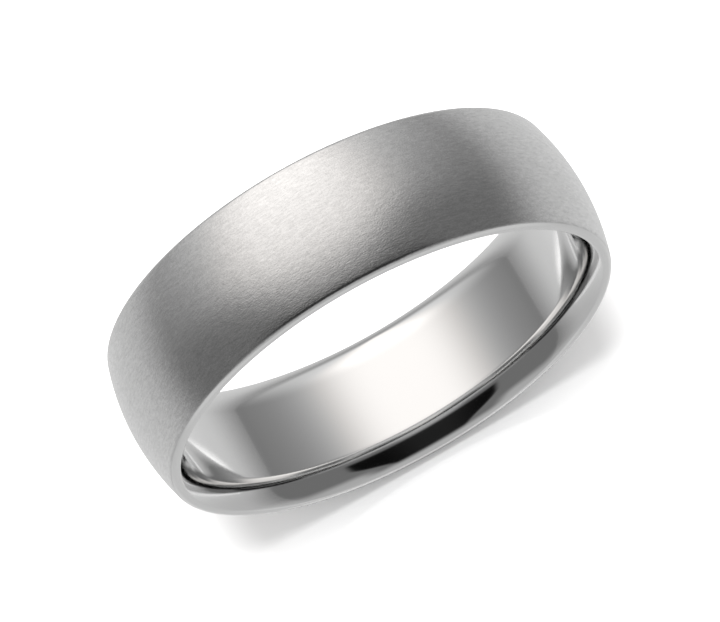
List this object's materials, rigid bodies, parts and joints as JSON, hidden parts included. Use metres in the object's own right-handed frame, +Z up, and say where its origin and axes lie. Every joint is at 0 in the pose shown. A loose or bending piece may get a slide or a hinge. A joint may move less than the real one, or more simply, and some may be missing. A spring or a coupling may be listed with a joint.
{
  "type": "wedding band",
  "caption": "Plain white metal wedding band with a low domed satin outside, narrow flat edges and a polished comfort-fit bore.",
  "frame": {"origin": "centre of the finger bore, halfway along the band's width", "axes": "+Y along the finger bore's axis, +Z up with the band standing on its rim, +X to the side"},
  "size_m": [0.023, 0.0066, 0.023],
  "materials": {
    "white_metal": "satin"
  },
  "bodies": {
    "root": {"band": "white_metal"}
  },
  "joints": []
}
